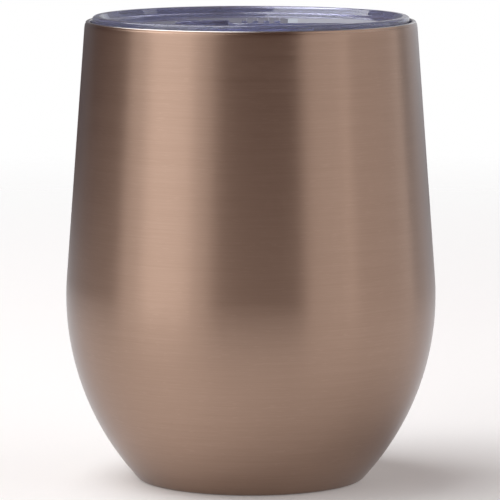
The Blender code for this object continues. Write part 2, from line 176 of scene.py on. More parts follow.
ROUND_END = 0.49  # corner radius over width that makes an end all but a half circle
HEAD_OVERHANG = 0.7 * MM
HEAD_HEIGHT = 0.7 * MM
HEAD_ROUND = (0.08 * MM, 0.35 * MM)  # top and bottom
SPLIT_HEIGHT = 2.6 * MM
SPLIT_HALF_WIDTH = 0.5 * MM
SPLIT_CORNER = 0.3 * MM
SPLIT_ROUND = 0.25 * MM
SEAL_CORNER = 4.6 * MM
SEAL_ROUND = (0.2 * MM, 0.35 * MM)  # top and bottom
POCKET_ROUND = 0.2 * MM
CLIP_CORNER = 2.0 * MM
CLIP_ROUND = (0.25 * MM, 0.35 * MM)  # top and bottom
CLIP_HOLE_FLARE = 0.2 * MM

# Brush lines: noise features per metre along X, Y and Z, so the streaks lie level.
FINE_STREAKS = (70, 70, 5200)
BROAD_STREAKS = (22, 22, 800)
SCRATCHES = (380, 380, 4200)
FINE_SHARE = 0.65
SCRATCH_RANGE = (0.69, 0.78)
SCRATCH_SHADE = 0.8
SCRATCH_DEPTH = 0.5
NOISE_RANGE = (0.3, 0.7)  # most of a noise's values lie in this stretch
PATCH_RANGE = (0.35, 0.7)
QUARTER_TURN = 0.25  # in whole turns: lays the stretched highlight across the brush lines

# The studio. The lights aim at a point partway up the cup.
STUDIO_RADIUS = 1.3
AIM_HEIGHT = 0.55 * LIP_TOP
PAPER_FADE = (0.30, 0.80)
PAPER_GLOW = 0.10
PAPER_DROP = 0.05 * MM
PAPER_SEGMENTS = 96
ROOM = (0.095, 0.055, 0.05)
CAMERA_LENS = 300.3
CAMERA_SENSOR = 36.0
CAMERA_PLACE = (-0.22 * MM, -997.4 * MM, 175.8 * MM)
CAMERA_DIP = math.radians(6.896)
NEUTRAL = (1.0, 1.0, 1.0)
COOL = (0.93, 0.99, 1.0)
HAZE = (0.86, 0.93, 1.0)
SKY = (0.68, 0.88, 1.0)
SOFTBOXES = (
    # name, azimuth, elevation, width, height, glow, colour
    ("left_wide", -57, 20, 66, 60, 0.8, NEUTRAL),
    ("left_key", -55, 20, 34, 60, 0.75, NEUTRAL),
    ("right_key", 50, 4, 34, 28, 0.9, NEUTRAL),
    ("right_side", 92, 10, 56, 40, 0.6, NEUTRAL),
    ("right_upper", 75, 38, 60, 24, 1.2, NEUTRAL),
    ("back_right", 140, 20, 60, 50, 0.40, COOL),
    ("backdrop", 156, 8, 46, 18, 0.50, HAZE),
    ("backdrop_left", -158, 8, 46, 18, 0.17, SKY),
    ("overhead_left", -105, 62, 50, 50, 3.5, NEUTRAL),
)


# ---------------------------------------------------------------- sections and meshes


def arc_points(centre, radius, start, end, steps):
    """Points along an arc, both ends included."""
    angles = [start + (end - start) * i / steps for i in range(steps + 1)]
    return [(centre[0] + radius * math.cos(a), centre[1] + radius * math.sin(a)) for a in angles]


def body_radius(height, inset=0.0):
    """Radius at a height of the surface that lies inset inside the cup's outside."""
    arc = BELLY_ARC - inset
    tangent_height = BELLY_HEIGHT + arc * math.sin(TAPER)
    if height <= tangent_height:
        return BELLY_CENTRE + math.sqrt(arc**2 - (height - BELLY_HEIGHT) ** 2)
    return BELLY_CENTRE + arc * math.cos(TAPER) - (height - tangent_height) * math.tan(TAPER)


def belly_angle(height, inset):
    """Angle on the belly arc, drawn inset inside the outside, at a height."""
    return math.asin((height - BELLY_HEIGHT) / (BELLY_ARC - inset))


def belly_points(start, end, inset, steps):
    """Points along that arc between two angles."""
    return arc_points((BELLY_CENTRE, BELLY_HEIGHT), BELLY_ARC - inset, start, end, steps)


def offset_path(path, distance):
    """The path moved to the right of the way it runs, with mitred corners."""
    normals = []
    for (r0, z0), (r1, z1) in zip(path, path[1:]):
        length = math.hypot(r1 - r0, z1 - z0)
        normals.append(((z1 - z0) / length, -(r1 - r0) / length))
    moved = []
    for i, (r, z) in enumerate(path):
        before = normals[max(i - 1, 0)]
        after = normals[min(i, len(normals) - 1)]
        share = distance / (1 + before[0] * after[0] + before[1] * after[1])
        moved.append((r + (before[0] + after[0]) * share, z + (before[1] + after[1]) * share))
    return moved


def sheet_section(path, thickness):
    """The closed section of a sheet that lies to the right of the path as it runs."""
    return offset_path(path, thickness)[::-1] + path


def rounded_corner(before, corner, after, radius):
    """Points of the arc that rounds one corner of an outline."""
    here = Vector(corner)
    back = (Vector(before) - here).normalized()
    ahead = (Vector(after) - here).normalized()
    half = back.angle(ahead) / 2
    if radius <= 0 or half > NEARLY_STRAIGHT:
        return [corner]
    centre = here + (back + ahead).normalized() * radius / math.sin(half)
    reach = radius / math.tan(half)
    start = here + back * reach - centre
    end = here + ahead * reach - centre
    sweep = start.angle_signed(end)
    steps = max(2, math.ceil(abs(sweep) / ARC_STEP))
    first = math.atan2(start.y, start.x)
    return arc_points(centre, radius, first, first - sweep, steps)


def rounded_outline(corners, closed):
    """Outline points from (r, z, rounding radius) corners. An open outline keeps its ends."""
    places = [(r, z) for r, z, _ in corners]
    count = len(corners)
    points = []
    for i, (r, z, radius) in enumerate(corners):
        if not closed and i in (0, count - 1):
            points.append((r, z))
        else:
            before = places[i - 1]
            after = places[(i + 1) % count]
            points += rounded_corner(before, (r, z), after, radius)
    return points


def new_object(name, mesh, material):
    """Links a mesh to the scene. Cutters have no material."""
    obj = bpy.data.objects.new(name, mesh)
    bpy.context.scene.collection.objects.link(obj)
    if material:
        mesh.materials.append(material)
    return obj


def turned(name, section, material=None, segments=SEGMENTS):
    """A solid of revolution about Z. A section that starts on the axis is left open there."""
    ring = section[0][0] > MERGE
    points = [(r, 0.0, z) for r, z in section]
    edges = [(i, i + 1) for i in range(len(points) - 1)]
    if ring:
        edges.append((len(points) - 1, 0))
    mesh = bpy.data.meshes.new(name)
    mesh.from_pydata(points, edges, [])
    obj = new_object(name, mesh, material)
    screw = obj.modifiers.new("Turn", "SCREW")
    screw.axis = "Z"
    screw.steps = segments
    screw.render_steps = segments
    screw.use_merge_vertices = True
    screw.merge_threshold = MERGE
    return obj


def rounded_rectangle(x_range, half_width, corner, grow, height):
    """Outline of a rectangle centred on Y = 0 with round corners, moved outwards by grow."""
    radius = corner + grow
    reach = half_width - corner
    steps = math.ceil(math.pi / 2 / ARC_STEP)
    centres = (
        (x_range[1] - corner, reach, 0.0),
        (x_range[0] + corner, reach, math.pi / 2),
        (x_range[0] + corner, -reach, math.pi),
        (x_range[1] - corner, -reach, 1.5 * math.pi),
    )
    points = []
    for x, y, start in centres:
        for px, py in arc_points((x, y), radius, start, start + math.pi / 2, steps):
            points.append((px, py, height))
    return points


def lofted(name, outlines, material=None):
    """A closed solid through outlines of equal point counts, listed from the bottom up."""
    body = bmesh.new()
    rings = [[body.verts.new(p) for p in outline] for outline in outlines]
    for low, high in zip(rings, rings[1:]):
        for i in range(len(low)):
            j = (i + 1) % len(low)
            body.faces.new((low[i], low[j], high[j], high[i]))
    body.faces.new(rings[0][::-1])
    body.faces.new(rings[-1])
    mesh = bpy.data.meshes.new(name)
    body.to_mesh(mesh)
    body.free()
    return new_object(name, mesh, material)


def edge_levels(height, radius, inwards, rising):
    """(height, grow) pairs that round the end of a block, or flare the end of a hole."""
    levels = []
    for i in range(EDGE_STEPS + 1):
        angle = math.pi / 2 * i / EDGE_STEPS
        grow = radius * (1 - math.cos(angle)) * (-1 if inwards else 1)
        levels.append((height + (math.sin(angle) - 1) * radius * (1 if rising else -1), grow))
    return levels if rising else levels[::-1]


def plate(name, x_range, width, z_range, corner, top_round, bottom_round, material=None):
    """A block with round upright edges, whose top and bottom edges are rounded too."""
    levels = edge_levels(z_range[0], bottom_round, True, False)
    levels += edge_levels(z_range[1], top_round, True, True)
    outlines = [rounded_rectangle(x_range, width / 2, corner, g, z) for z, g in levels]
    return lofted(name, outlines, material)


def hole_cutter(name, x_range, width, z_range, corner, flare):
    """A cutter that leaves the hole's edges rounded by flare."""
    beyond = (z_range[0] - CUT_MARGIN, z_range[1] + CUT_MARGIN)
    levels = [(beyond[0], flare)] + edge_levels(z_range[0], flare, False, False)
    levels += edge_levels(z_range[1], flare, False, True) + [(beyond[1], flare)]
    return lofted(name, [rounded_rectangle(x_range, width / 2, corner, g, z) for z, g in levels])


def combine(obj, other, operation):
    """Joins another object to this one or cuts it out, and returns the other."""
    boolean = obj.modifiers.new(operation.title(), "BOOLEAN")
    boolean.operation = operation
    boolean.object = other
    other.hide_render = True
    return other


def finished(obj, cutters=(), weighted=True):
    """Bakes the modifiers, removes the cutters and shades the piece."""
    graph = bpy.context.evaluated_depsgraph_get()
    mesh = bpy.data.meshes.new_from_object(obj.evaluated_get(graph))
    obj.modifiers.clear()
    obj.data = mesh
    for cutter in cutters:
        bpy.data.objects.remove(cutter)
    mesh.shade_smooth()
    mesh.set_sharp_from_angle(angle=CRISP_ANGLE)
    if weighted:
        normals = obj.modifiers.new("Weighted normals", "WEIGHTED_NORMAL")
        normals.keep_sharp = True
    return obj


def place(obj, body, slot, *nodes):
    """Puts a piece on its body and hides the CAD nodes it stands for."""
    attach(obj, body)
    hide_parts(*nodes)


# ---------------------------------------------------------------- materials


def add(tree, kind, inputs=None, **settings):
    """Adds a node. Each input is a value or another node's socket."""
    node = tree.nodes.new(kind)
    for name, value in settings.items():
        setattr(node, name, value)
    for name, value in (inputs or {}).items():
        socket = node.inputs[name]
        if isinstance(value, bpy.types.NodeSocket):
            tree.links.new(value, socket)
        else:
            socket.default_value = value
    return node


def new_material(name, **sockets):
    """A Principled material whose even values sit on the shader's own sockets."""
    material = bpy.data.materials.new(f"{name}_finish")
    material.use_nodes = True
    shader = material.node_tree.nodes["Principled BSDF"]
    for socket, value in sockets.items():
        shader.inputs[socket.replace("_", " ")].default_value = value
    return material, material.node_tree, shader


def noise(tree, scale, detail=3.0, roughness=0.5):
    """Noise on the piece's own coordinates, scaled per axis in features per metre."""
    place_at = add(tree, "ShaderNodeTexCoord").outputs["Object"]
    stretched = add(tree, "ShaderNodeMapping", {"Vector": place_at, "Scale": scale})
    texture = add(
        tree,
        "ShaderNodeTexNoise",
        {"Vector": stretched.outputs["Vector"], "Scale": 1.0, "Detail": detail,
         "Roughness": roughness},
    )
    return texture.outputs["Fac"]


def between(tree, value, stretch, onto=(0.0, 1.0)):
    """Maps the stretch of the value's range onto another range, and clamps the rest."""
    node = add(
        tree,
        "ShaderNodeMapRange",
        {"Value": value, "From Min": stretch[0], "From Max": stretch[1],
         "To Min": onto[0], "To Max": onto[1]},
    )
    return node.outputs["Result"]


def maths(tree, operation, first, second=0.0):
    """One Math node. Each operand is a number or another node's socket."""
    node = tree.nodes.new("ShaderNodeMath")
    node.operation = operation
    for socket, value in zip(node.inputs, (first, second)):
        if isinstance(value, bpy.types.NodeSocket):
            tree.links.new(value, socket)
        else:
            socket.default_value = value
    return node.outputs["Value"]


def mixed(tree, share, first, second):
    """A colour between two colours."""
    node = tree.nodes.new("ShaderNodeMix")
    node.data_type = "RGBA"
    sockets = [s for s in node.inputs if s.type == "RGBA"]
    for socket, colour in zip(sockets, (first, second)):
        socket.default_value = (*colour, 1.0)
    tree.links.new(share, node.inputs["Factor"])
    return next(s for s in node.outputs if s.type == "RGBA")


def paint(tree, shader, share, first, second):
    """Gives the shader a base colour that varies between two colours."""
    tree.links.new(mixed(tree, share, first, second), shader.inputs["Base Color"])


def roughen(tree, shader, roughness):
    """Gives the shader a roughness that varies."""
    tree.links.new(roughness, shader.inputs["Roughness"])


def turn_round_axis(tree, shader):
    """Lays the shader's tangent along circles round the axis, the way the brush lines run."""
    tangent = add(tree, "ShaderNodeTangent", direction_type="RADIAL", axis="Z")
    tree.links.new(tangent.outputs["Tangent"], shader.inputs["Tangent"])


def bump(tree, shader, height, distance, strength=1.0):
    """Relief of the given depth in metres."""
    node = add(tree, "ShaderNodeBump", {"Height": height, "Distance": distance, "Strength": strength})
    tree.links.new(node.outputs["Normal"], shader.inputs["Normal"])


def brushed_round(tree, shader, dark, light, roughness, streak_depth):
    """Brush lines that run round the axis: long thin streaks in colour, gloss and relief."""
    fine = maths(tree, "MULTIPLY", noise(tree, FINE_STREAKS, detail=2.0), FINE_SHARE)
    broad = maths(tree, "MULTIPLY", noise(tree, BROAD_STREAKS, detail=3.0), 1 - FINE_SHARE)
    streaks = maths(tree, "ADD", fine, broad)
    scratches = between(tree, noise(tree, SCRATCHES, detail=0.0), SCRATCH_RANGE)
    shade = between(tree, streaks, NOISE_RANGE)
    shade = maths(tree, "ADD", shade, maths(tree, "MULTIPLY", scratches, SCRATCH_SHADE))
    paint(tree, shader, shade, dark, light)
    roughen(tree, shader, between(tree, streaks, NOISE_RANGE, roughness))
    relief = maths(tree, "SUBTRACT", streaks, maths(tree, "MULTIPLY", scratches, SCRATCH_DEPTH))
    bump(tree, shader, relief, streak_depth)
    turn_round_axis(tree, shader)


def coated_steel():
    """Brushed steel under a tinted satin coating."""
    material, tree, shader = new_material(
        "coated_steel",
        Metallic=1.0,
        Anisotropic=0.8,
        Anisotropic_Rotation=QUARTER_TURN,
        Specular_Tint=(0.70, 0.73, 0.78, 1.0),
        Coat_Weight=0.5,
        Coat_Roughness=0.3,
        Coat_IOR=1.5,
    )
    dark = (0.337, 0.225, 0.166)
    light = (0.377, 0.256, 0.192)
    brushed_round(tree, shader, dark, light, roughness=(0.32, 0.38), streak_depth=0.004 * MM)
    return material


def bare_steel():
    """Uncoated steel with the same brush lines."""
    material, tree, shader = new_material(
        "bare_steel", Metallic=1.0, Anisotropic=0.6, Anisotropic_Rotation=QUARTER_TURN
    )
    dark = (0.60, 0.59, 0.58)
    light = (0.74, 0.73, 0.72)
    brushed_round(tree, shader, dark, light, roughness=(0.22, 0.32), streak_depth=0.003 * MM)
    return material


def spun_steel():
    """Bare sheet whose flat face was turned, so its fine rings run round the axis."""
    rings_per_metre = 4200.0
    smudge_weight = 0.08
    material, tree, shader = new_material(
        "spun_steel", Metallic=1.0, Anisotropic=0.65, Anisotropic_Rotation=QUARTER_TURN
    )
    place_at = add(tree, "ShaderNodeTexCoord").outputs["Object"]
    split = add(tree, "ShaderNodeSeparateXYZ", {"Vector": place_at})
    x_squared = maths(tree, "POWER", split.outputs["X"], 2.0)
    y_squared = maths(tree, "POWER", split.outputs["Y"], 2.0)
    radius = maths(tree, "SQRT", maths(tree, "ADD", x_squared, y_squared))
    rings = add(
        tree,
        "ShaderNodeTexNoise",
        {"W": maths(tree, "MULTIPLY", radius, rings_per_metre), "Scale": 1.0},
        noise_dimensions="1D",
    ).outputs["Fac"]
    paint(tree, shader, between(tree, rings, NOISE_RANGE), (0.58, 0.57, 0.56), (0.74, 0.73, 0.72))
    smudges = between(tree, noise(tree, (140, 140, 140), detail=4.0), PATCH_RANGE)
    smudges = maths(tree, "MULTIPLY", smudges, smudge_weight)
    gloss = between(tree, rings, NOISE_RANGE, (0.2, 0.3))
    roughen(tree, shader, maths(tree, "ADD", gloss, smudges))
    bump(tree, shader, rings, 0.004 * MM)
    turn_round_axis(tree, shader)
    return material


def copper_foil():
    """Crinkled foil, tarnished in patches."""
    material, tree, shader = new_material("copper_foil", Metallic=1.0)
    crinkle = noise(tree, (260, 260, 260), detail=5.0)
    tarnish = between(tree, noise(tree, (45, 45, 45)), PATCH_RANGE)
    paint(tree, shader, tarnish, (0.82, 0.42, 0.27), (0.55, 0.25, 0.15))
    roughen(tree, shader, between(tree, crinkle, NOISE_RANGE, (0.18, 0.34)))
    bump(tree, shader, crinkle, 0.15 * MM)
    return material


def sealing_glass():
    """Dark glass with fine bubbles."""
    material, tree, shader = new_material("sealing_glass", IOR=1.6, Coat_Weight=0.3)
    bubbles = noise(tree, (1500, 1500, 1500), detail=2.0)
    paint(tree, shader, between(tree, bubbles, (0.35, 0.65)), (0.05, 0.06, 0.055), (0.12, 0.13, 0.12))
    roughen(tree, shader, between(tree, bubbles, NOISE_RANGE, (0.08, 0.25)))
    bump(tree, shader, bubbles, 0.02 * MM)
    return material


def getter_alloy():
    """Pressed grey metal powder."""
    material, tree, shader = new_material("getter_alloy", Metallic=0.8)
    grain = noise(tree, (4000, 4000, 4000), detail=4.0)
    paint(tree, shader, between(tree, grain, NOISE_RANGE), (0.10, 0.10, 0.105), (0.30, 0.30, 0.31))
    roughen(tree, shader, between(tree, grain, NOISE_RANGE, (0.5, 0.8)))
    bump(tree, shader, grain, 0.06 * MM)
    return material


def clear_plastic():
    """Clear, faintly violet moulded plastic with wiping haze and hairline scratches."""
    hairline_weight = 0.05
    material, tree, shader = new_material(
        "clear_plastic", Transmission_Weight=0.86, IOR=1.56, Specular_IOR_Level=0.5
    )
    haze = noise(tree, (90, 90, 90), detail=4.0, roughness=0.6)
    paint(tree, shader, between(tree, haze, NOISE_RANGE), (0.58, 0.61, 0.88), (0.66, 0.69, 0.92))
    hairlines = between(tree, noise(tree, (150, 2600, 900), detail=1.0), (0.68, 0.78))
    hairlines = maths(tree, "MULTIPLY", hairlines, hairline_weight)
    gloss = between(tree, haze, (0.35, 0.75), (0.01, 0.035))
    roughen(tree, shader, maths(tree, "ADD", gloss, hairlines))
    flow = noise(tree, (25, 25, 60), detail=0.0)
    bump(tree, shader, flow, 0.03 * MM, strength=0.5)
    return material


def silicone():
    """Cloudy translucent rubber with a matt moulded skin."""
    material, tree, shader = new_material(
        "silicone", Transmission_Weight=0.55, IOR=1.41, Subsurface_Weight=0.2, Subsurface_Scale=1.5 * MM
    )
    grain = noise(tree, (2600, 2600, 2600), detail=3.0)
    cloud = between(tree, noise(tree, (120, 120, 120)), PATCH_RANGE)
    paint(tree, shader, cloud, (0.80, 0.81, 0.84), (0.90, 0.91, 0.93))
    roughen(tree, shader, between(tree, grain, NOISE_RANGE, (0.38, 0.55)))
    bump(tree, shader, grain, 0.015 * MM)
    return material


# ---------------------------------------------------------------- the cup


def outer_shell(material):
    """The coated outside wall, with a rolled shoulder under the lip and a flat foot ring."""
    top = LIP_TOP - LIP_HEIGHT - LIP_JOINT
    shoulder_foot = LIP_TOP - SHOULDER
    foot_angle = math.asin((FOOT_FILLET - BELLY_HEIGHT) / (BELLY_ARC - FOOT_FILLET))
    foot_centre = (BELLY_CENTRE + (BELLY_ARC - FOOT_FILLET) * math.cos(foot_angle), FOOT_FILLET)
    top_share = (top - shoulder_foot) / SHOULDER
    path = [(body_radius(top) - SHOULDER_ROLL * top_share**2, top)]
    for i in range(SHOULDER_STEPS):
        share = 1 - i / SHOULDER_STEPS
        height = shoulder_foot + SHOULDER * share
        if height < top:
            path.append((body_radius(height) - SHOULDER_ROLL * share**2, height))
    path.append((body_radius(LIP_TOP - 2 * SHOULDER), LIP_TOP - 2 * SHOULDER))
    path += belly_points(TAPER, foot_angle, 0.0, SHELL_STEPS)
    path += arc_points(foot_centre, FOOT_FILLET, foot_angle, -math.pi / 2, FILLET_STEPS)[1:]
    path.append((FOOT_RING_INNER, 0.0))
    shell = finished(turned("shell", sheet_section(path, SHEET), material), weighted=False)
    place(shell, "cup", "coated_steel", "outer_shell")


def inner_liner(steel, coated):
    """The inside wall with its rolled lip. The coating ends just under the lip's top."""
    lip_radius = body_radius(LIP_TOP) - SHOULDER_ROLL
    lip_foot = LIP_TOP - LIP_HEIGHT
    ledge_top = LIP_TOP - LEDGE_DEPTH
    neck_outside = BORE_RADIUS + SHEET
    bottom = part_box("inner_liner")[0].z
    wall = belly_points(TAPER, belly_angle(bottom, LINER_INSET), LINER_INSET, LINER_STEPS)
    neck_bottom = wall[0][1] + (wall[0][0] - neck_outside) / math.tan(TAPER)
    corners = [
        (LIP_INNER_RADIUS + SHEET, lip_foot, 0.0),
        (LIP_INNER_RADIUS + SHEET, ledge_top, LEDGE_FILLET),
        (neck_outside, ledge_top - LEDGE_DROP, LEDGE_FILLET),
        (neck_outside, neck_bottom, NECK_FILLET),
        (*wall[0], 0.0),
    ]
    outside = rounded_outline(corners, closed=False) + wall[1:]
    inside = offset_path(outside, SHEET)[::-1]
    lip = rounded_outline(
        [
            (LIP_INNER_RADIUS, lip_foot, 0.0),
            (LIP_INNER_RADIUS, LIP_TOP, LIP_ROUND),
            (lip_radius, LIP_TOP, LIP_ROUND),
            (lip_radius + LIP_SIDE_FLARE, LIP_TOP - BARE_LIP - LIP_ROUND, 0.0),
            (body_radius(lip_foot) - LIP_FOOT_ROLL, lip_foot, 0.0),
        ],
        closed=False,
    )
    liner = finished(turned("liner", inside[:-1] + lip + outside, steel), weighted=False)
    liner.data.materials.append(coated)
    for face in liner.data.polygons:
        on_side = math.hypot(face.center.x, face.center.y) > LIP_INNER_RADIUS + SHEET
        if on_side and lip_foot < face.center.z < LIP_TOP - BARE_LIP:
            face.material_index = 1
    place(liner, "cup", "bare_steel", "inner_liner")


def pan_path(inset, top, floor):
    """The outside of a pan: down the belly arc, round a corner and in to the axis."""
    corner_height = floor + PAN_CORNER
    corner_inset = inset + PAN_CORNER
    corner_angle = belly_angle(corner_height, corner_inset)
    corner_centre = (body_radius(corner_height, corner_inset), corner_height)
    wall = belly_points(belly_angle(top, inset), corner_angle, inset, PAN_WALL_STEPS)
    corner = arc_points(corner_centre, PAN_CORNER, corner_angle, -math.pi / 2, PAN_CORNER_STEPS)
    return wall[:-1] + corner + [(0.0, floor)]


def liner_bottom(material):
    """The drawn pan that closes the liner, with the weld bead that joins it to the wall."""
    low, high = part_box("liner_bottom")
    path = pan_path(LINER_INSET, high.z, low.z)
    pan = finished(turned("liner_pan", sheet_section(path, SHEET), material), weighted=False)
    place(pan, "cup", "bare_steel", "liner_bottom")
    seam_height = high.z + WELD_RAISE
    seam_radius = body_radius(seam_height, LINER_INSET + SHEET)
    seam = (seam_radius + WELD_OUTSET, seam_height)
    bead = arc_points(seam, WELD_RADIUS, 0.0, 2 * math.pi, WELD_STEPS)[:-1]
    weld = finished(turned("liner_weld", bead[::-1], material), weighted=False)
    for vertex in weld.data.vertices:
        angle = math.atan2(vertex.co.y, vertex.co.x)
        vertex.co.z += WELD_RIPPLE * math.sin(WELD_RIPPLES * angle)
    place(weld, "cup", "bare_steel")


def copper_layers(material):
    """The two copper shields in the vacuum space."""
    inset = LINER_INSET - 2 * FOIL
    low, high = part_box("copper_wrap")
    wrap = [(body_radius(high.z, inset), high.z)]
    wrap += belly_points(TAPER, belly_angle(low.z, inset), inset, COPPER_STEPS)
    wrap_piece = turned("copper_shield", sheet_section(wrap, FOIL), material)
    place(finished(wrap_piece, weighted=False), "cup", "copper_foil", "copper_wrap")
    low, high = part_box("copper_pan")
    pan = pan_path(inset, high.z, low.z)
    pan_piece = turned("copper_pan_shield", sheet_section(pan, FOIL), material)
    place(finished(pan_piece, weighted=False), "cup", "copper_foil", "copper_pan")


def pressed_bottom(material):
    """The recessed bottom, with the dimple that holds the tail hole."""
    low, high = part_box("outer_bottom")
    path = rounded_outline(
        [
            (TAIL_HOLE_RADIUS, high.z, 0.0),
            (DIMPLE_RADIUS, high.z, DIMPLE_FILLET),
            (DIMPLE_MOUTH, BASE_RECESS, DIMPLE_MOUTH_ROUND),
            (high.x, BASE_RECESS, BASE_CORNER),
            (high.x, low.z, 0.0),
        ],
        closed=False,
    )
    bottom = finished(turned("pressed_bottom", sheet_section(path, BASE_SHEET), material), weighted=False)
    place(bottom, "cup", "bare_steel", "outer_bottom")


def tail_hole_bead(material):
    """The drop of glass that seals the tail hole."""
    low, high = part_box("vacuum_seal_bead")
    drop = rounded_outline(
        [
            (0.0, high.z, 0.0),
            (high.x, high.z, BEAD_TOP_ROUND),
            (high.x * BEAD_DROP_SHARE, low.z, BEAD_DROP_ROUND),
            (0.0, low.z, 0.0),
        ],
        closed=False,
    )
    bead = finished(turned("tail_hole_bead", drop, material, SMALL_SEGMENTS), weighted=False)
    place(bead, "cup", "sealing_glass", "vacuum_seal_bead")


def disc_outline(radius, low, high, edge):
    """Half the outline of a disc with rounded edges."""
    corners = [(0.0, high, 0.0), (radius, high, edge), (radius, low, edge), (0.0, low, 0.0)]
    return rounded_outline(corners, closed=False)


def cover_disc(material):
    """The flat disc that covers the pressed bottom."""
    low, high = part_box("base_disc")
    outline = disc_outline(high.x, low.z, high.z, DISC_EDGE)
    place(finished(turned("cover_disc", outline, material)), "cup", "bare_steel", "base_disc")


def getter(steel, alloy):
    """The getter pill in its small plain cup."""
    low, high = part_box("getter_cup")
    centre = (low + high) / 2
    radius = (high.x - low.x) / 2
    path = rounded_outline(
        [(radius, high.z - low.z, 0.0), (radius, 0.0, GETTER_FILLET), (0.0, 0.0, 0.0)], closed=False
    )
    section = sheet_section(path, SHEET)
    holder = finished(turned("getter_holder", section, steel, SMALL_SEGMENTS), weighted=False)
    holder.location = (centre.x, centre.y, low.z)
    place(holder, "cup", "bare_steel", "getter_cup")
    low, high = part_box("getter_pill")
    outline = disc_outline((high.x - low.x) / 2, 0.0, high.z - low.z, PILL_EDGE)
    pill = finished(turned("getter_tablet", outline, alloy, SMALL_SEGMENTS))
    pill.location = (centre.x, centre.y, low.z)
    place(pill, "cup", "getter_alloy", "getter_pill")


# ---------------------------------------------------------------- the lid


def lid_outline():
    """The lid's half section: sunk deck, rounded rim, flange, grooved skirt and underside."""
    low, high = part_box("lid")
    top = high.z
    deck = top - LID_DECK_DEPTH
    underside = deck - LID_WALL
    flange = LIP_TOP - LID_FLANGE_DEPTH
    groove_top = LIP_TOP - GROOVE_DEPTH_BELOW_LIP
    groove_bottom = groove_top - GROOVE_HEIGHT
    rim = high.x
    skirt_inside = SKIRT_RADIUS - SKIRT_WALL
    groove_radius = SKIRT_RADIUS - GROOVE_CUT
    corners = [
        (0.0, deck, 0.0),
        (LID_DECK_RADIUS, deck, LID_DECK_FILLET),
        (rim - LID_RIM_WIDTH, top, LID_RIM_ROUND[0]),
        (rim, top, LID_RIM_ROUND[1]),
        (rim, flange, LID_FLANGE_ROUND),
        (SKIRT_RADIUS, flange, LID_FLANGE_FILLET),
        (SKIRT_RADIUS, groove_top, GROOVE_EDGE),
        (groove_radius, groove_top, GROOVE_FILLET),
        (groove_radius, groove_bottom, GROOVE_FILLET),
        (SKIRT_RADIUS, groove_bottom, GROOVE_EDGE),
        (SKIRT_RADIUS, low.z, SKIRT_ROUND),
        (skirt_inside, low.z, SKIRT_ROUND),
        (skirt_inside, underside, LID_UNDERSIDE_FILLET),
        (0.0, underside, 0.0),
    ]
    return rounded_outline(corners, closed=False), deck, underside


def pocket_cutter(name, x_range, width, z_range, corner, flare, fillet):
    """A cutter for a blind pocket open at the top: rounded mouth and a filleted floor."""
    levels = edge_levels(z_range[0], fillet, True, False) + edge_levels(z_range[1], flare, False, True)
    levels.append((z_range[1] + 3 * CUT_MARGIN, flare))
    return lofted(name, [rounded_rectangle(x_range, width / 2, corner, g, z) for z, g in levels])


def lid(material):
    """The clear lid, with the slider's sunken track and its three holes."""
    outline, deck, deck_underside = lid_outline()
    piece = turned("clear_lid", outline, material)
    slider_low, slider_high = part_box("slider")
    floor = deck - TRACK_DEPTH
    underside = floor - LID_WALL
    inside = (slider_low.x - SLIDE_TRAVEL - TRACK_END_GAP, slider_high.x + TRACK_END_GAP)
    outside = (inside[0] - TRACK_WALL, inside[1] + TRACK_WALL)
    width = slider_high.y - slider_low.y + 2 * SEAM_GAP
    corner = SLIDER_CORNER + SEAM_GAP
    tub = plate(
        "track_tub", outside, width + 2 * TRACK_WALL, (underside, deck - OVERLAP),
        corner + TRACK_WALL, *TUB_ROUND,
    )
    hollow = pocket_cutter(
        "track_hollow", inside, width, (floor, deck), corner, TRACK_MOUTH_ROUND, TRACK_FILLET
    )
    shapes = [combine(piece, tub, "UNION"), combine(piece, hollow, "DIFFERENCE")]
    slot_reach = STEM_SIZE[0] / 2 + SEAM_GAP
    slot_width = STEM_SIZE[1] + 2 * SEAM_GAP
    slot_x = (STEM_X - SLIDE_TRAVEL - slot_reach, STEM_X + slot_reach)
    opening_x = (OPENING_X - OPENING_SIZE[0] / 2, OPENING_X + OPENING_SIZE[0] / 2)
    opening_corner = ROUND_END * OPENING_SIZE[0]
    vent_x = (VENT_X - VENT_RADIUS, VENT_X + VENT_RADIUS)
    vent_width = 2 * VENT_RADIUS
    holes = (
        ("opening", opening_x, OPENING_SIZE[1], (underside, floor), opening_corner),
        ("stem_slot", slot_x, slot_width, (underside, floor), STEM_SLOT_CORNER),
        ("vent", vent_x, vent_width, (deck_underside, deck), ROUND_END * vent_width),
    )
    for name, x_range, hole_width, z_range, hole_corner in holes:
        cutter = hole_cutter(name, x_range, hole_width, z_range, hole_corner, HOLE_FLARE)
        shapes.append(combine(piece, cutter, "DIFFERENCE"))
    place(finished(piece, shapes), "lid", "clear_plastic", "lid")


def gasket(material):
    """The two-finned silicone ring in the skirt's groove."""
    low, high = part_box("lid_gasket")
    inner = SKIRT_RADIUS - GROOVE_CUT + SEAM_GAP
    back = SKIRT_RADIUS - SEAM_GAP
    corners = [(inner, low.z, FIN_FILLET), (inner, high.z, FIN_FILLET), (back, high.z, FIN_FILLET)]
    for middle in (high.z - FIN_INSET, low.z + FIN_INSET):
        corners.append((back, middle + FIN_HALF_THICKNESS, FIN_FILLET))
        corners.append((high.x, middle, FIN_TIP_ROUND))
        corners.append((back, middle - FIN_HALF_THICKNESS, FIN_FILLET))
    corners.append((back, low.z, FIN_FILLET))
    ring = finished(turned("gasket_ring", rounded_outline(corners, closed=True), material), weighted=False)
    place(ring, "lid", "silicone", "lid_gasket")


